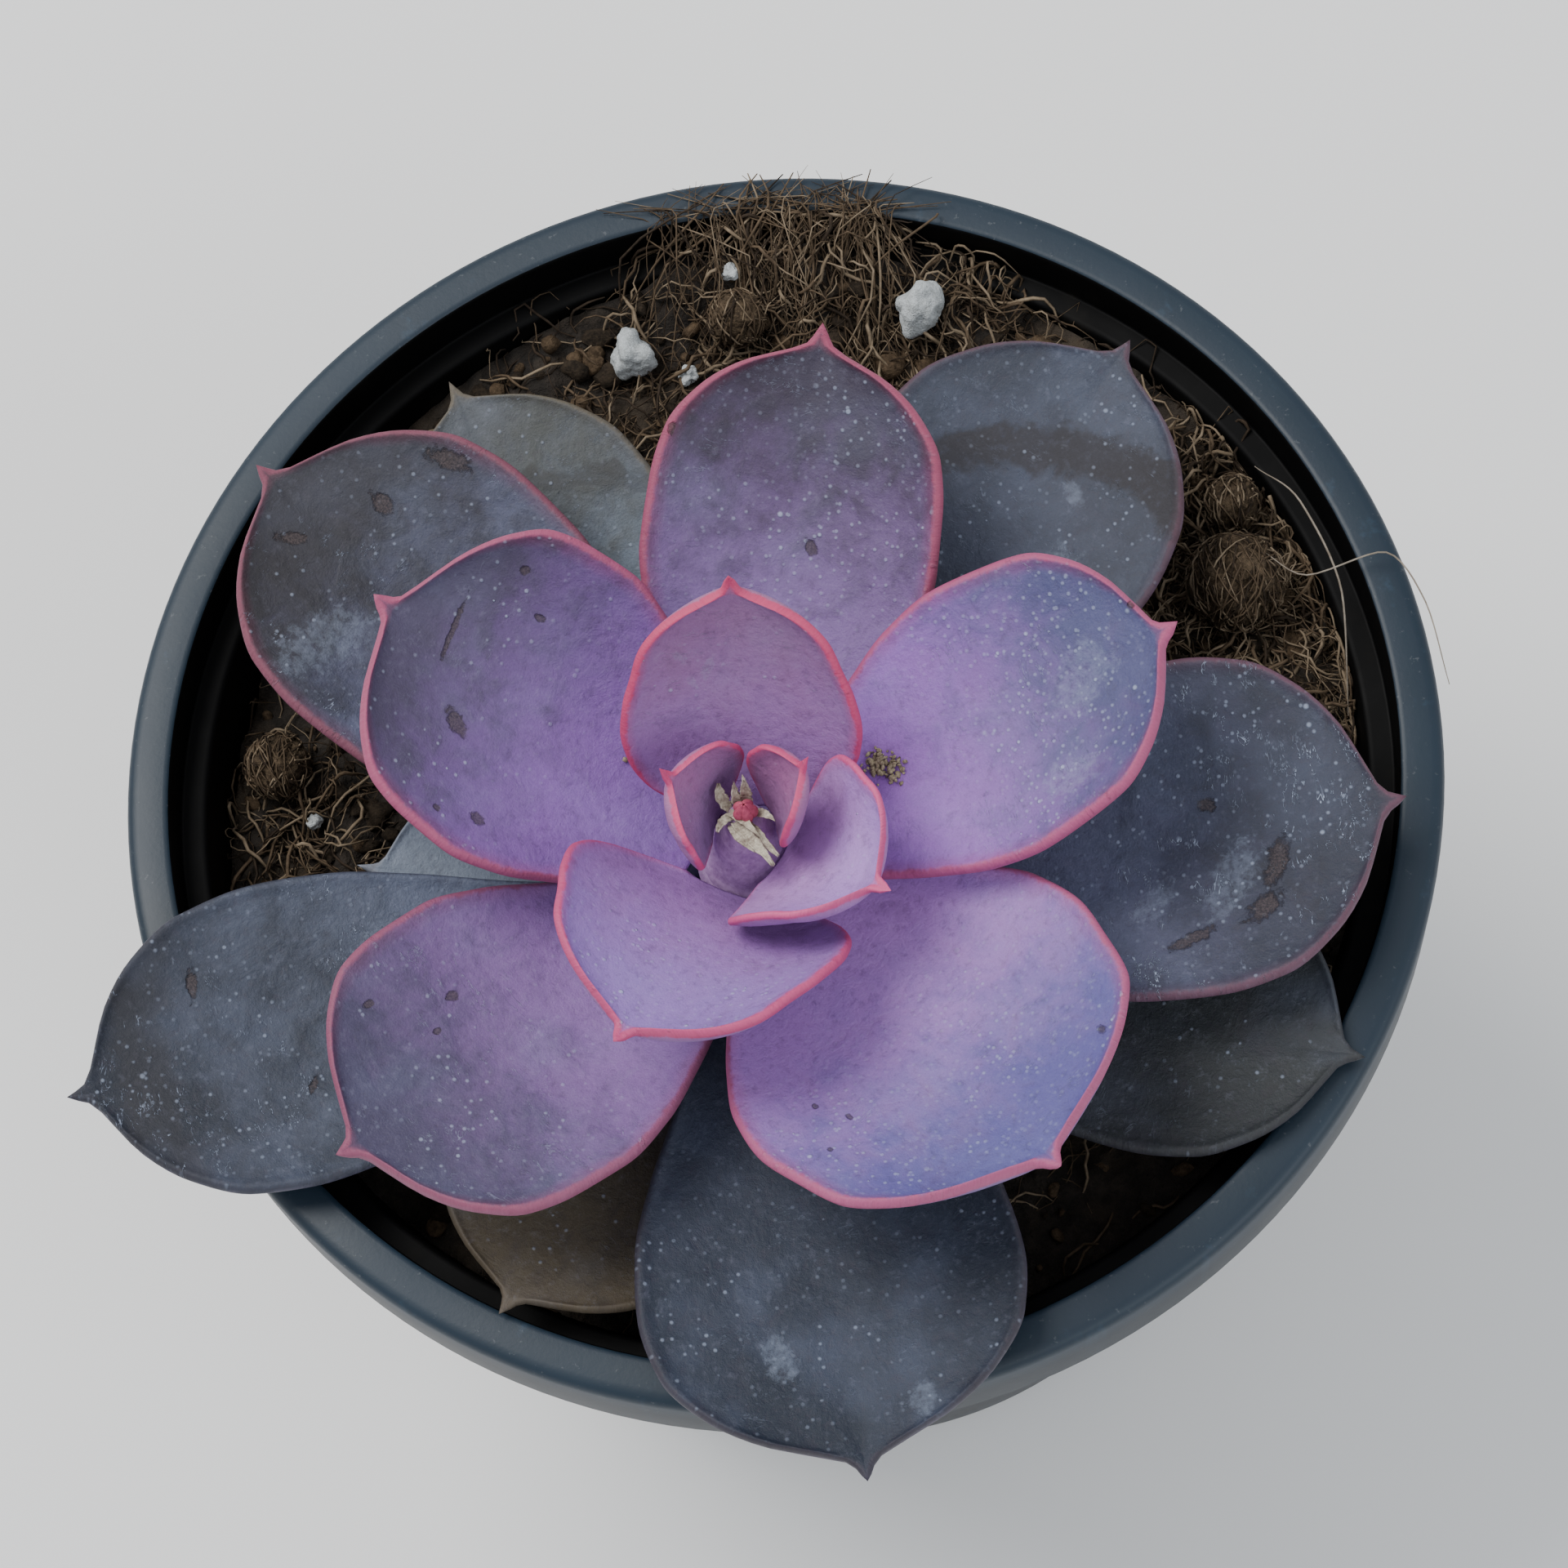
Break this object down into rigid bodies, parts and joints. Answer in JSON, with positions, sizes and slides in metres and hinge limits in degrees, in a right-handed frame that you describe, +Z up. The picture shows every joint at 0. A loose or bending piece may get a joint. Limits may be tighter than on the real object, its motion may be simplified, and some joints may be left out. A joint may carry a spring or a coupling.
{
  "type": "potted succulent",
  "caption": "Rosette succulent with broad pointed violet and blue-grey leaves, growing in a round tapered plastic nursery pot filled with dark fibrous growing medium.",
  "frame": {"origin": "centre of the pot's underside, on the plane that it stands on", "axes": "+Z up along the pot's axis; +X to the right and +Y to the back, where the medium is heaped highest"},
  "size_m": [0.1217, 0.1267, 0.1268],
  "materials": {
    "pot_plastic": "moulded dark blue-grey plastic, satin and slightly dusty",
    "growing_medium": "dark damp peat and coir fibre",
    "clod": "brown matted coir and bark",
    "white_grain": "white porous expanded mineral grains",
    "stem": "short woody green-brown stem",
    "flower_bud": "small pink bud",
    "dry_bract": "dry beige-green bract",
    "heart_leaf": "waxy lilac leaf with a coral-pink raised margin",
    "crown_leaf": "waxy violet leaf with a coral-pink raised margin",
    "middle_leaf": "waxy violet leaf with a dusty bloom and a pink margin",
    "outer_leaf": "waxy dark blue-grey leaf, scuffed, with a thin reddish margin",
    "old_leaf": "old pale grey-green leaf, drying brown at its end"
  },
  "bodies": {
    "root": {"pot": "pot_plastic", "growing_medium": "growing_medium", "stem": "stem", "flower_bud": "flower_bud", "dry_bract_1": "dry_bract", "dry_bract_2": "dry_bract", "dry_bract_3": "dry_bract", "white_grain_1": "white_grain", "white_grain_2": "white_grain", "white_grain_3": "white_grain", "white_grain_4": "white_grain", "white_grain_5": "white_grain", "white_grain_6": "white_grain", "clod_1": "clod", "clod_2": "clod", "clod_3": "clod", "clod_4": "clod", "clod_5": "clod", "heart_leaf_1": "heart_leaf", "heart_leaf_2": "heart_leaf", "heart_leaf_3": "heart_leaf", "crown_leaf_1": "crown_leaf", "crown_leaf_2": "crown_leaf", "middle_leaf_1": "middle_leaf", "middle_leaf_2": "middle_leaf", "middle_leaf_3": "middle_leaf", "middle_leaf_4": "middle_leaf", "middle_leaf_5": "middle_leaf", "outer_leaf_1": "outer_leaf", "outer_leaf_2": "outer_leaf", "outer_leaf_3": "outer_leaf", "outer_leaf_4": "outer_leaf", "outer_leaf_5": "outer_leaf", "outer_leaf_6": "outer_leaf", "old_leaf_1": "old_leaf", "old_leaf_2": "old_leaf", "old_leaf_3": "old_leaf"}
  },
  "joints": []
}
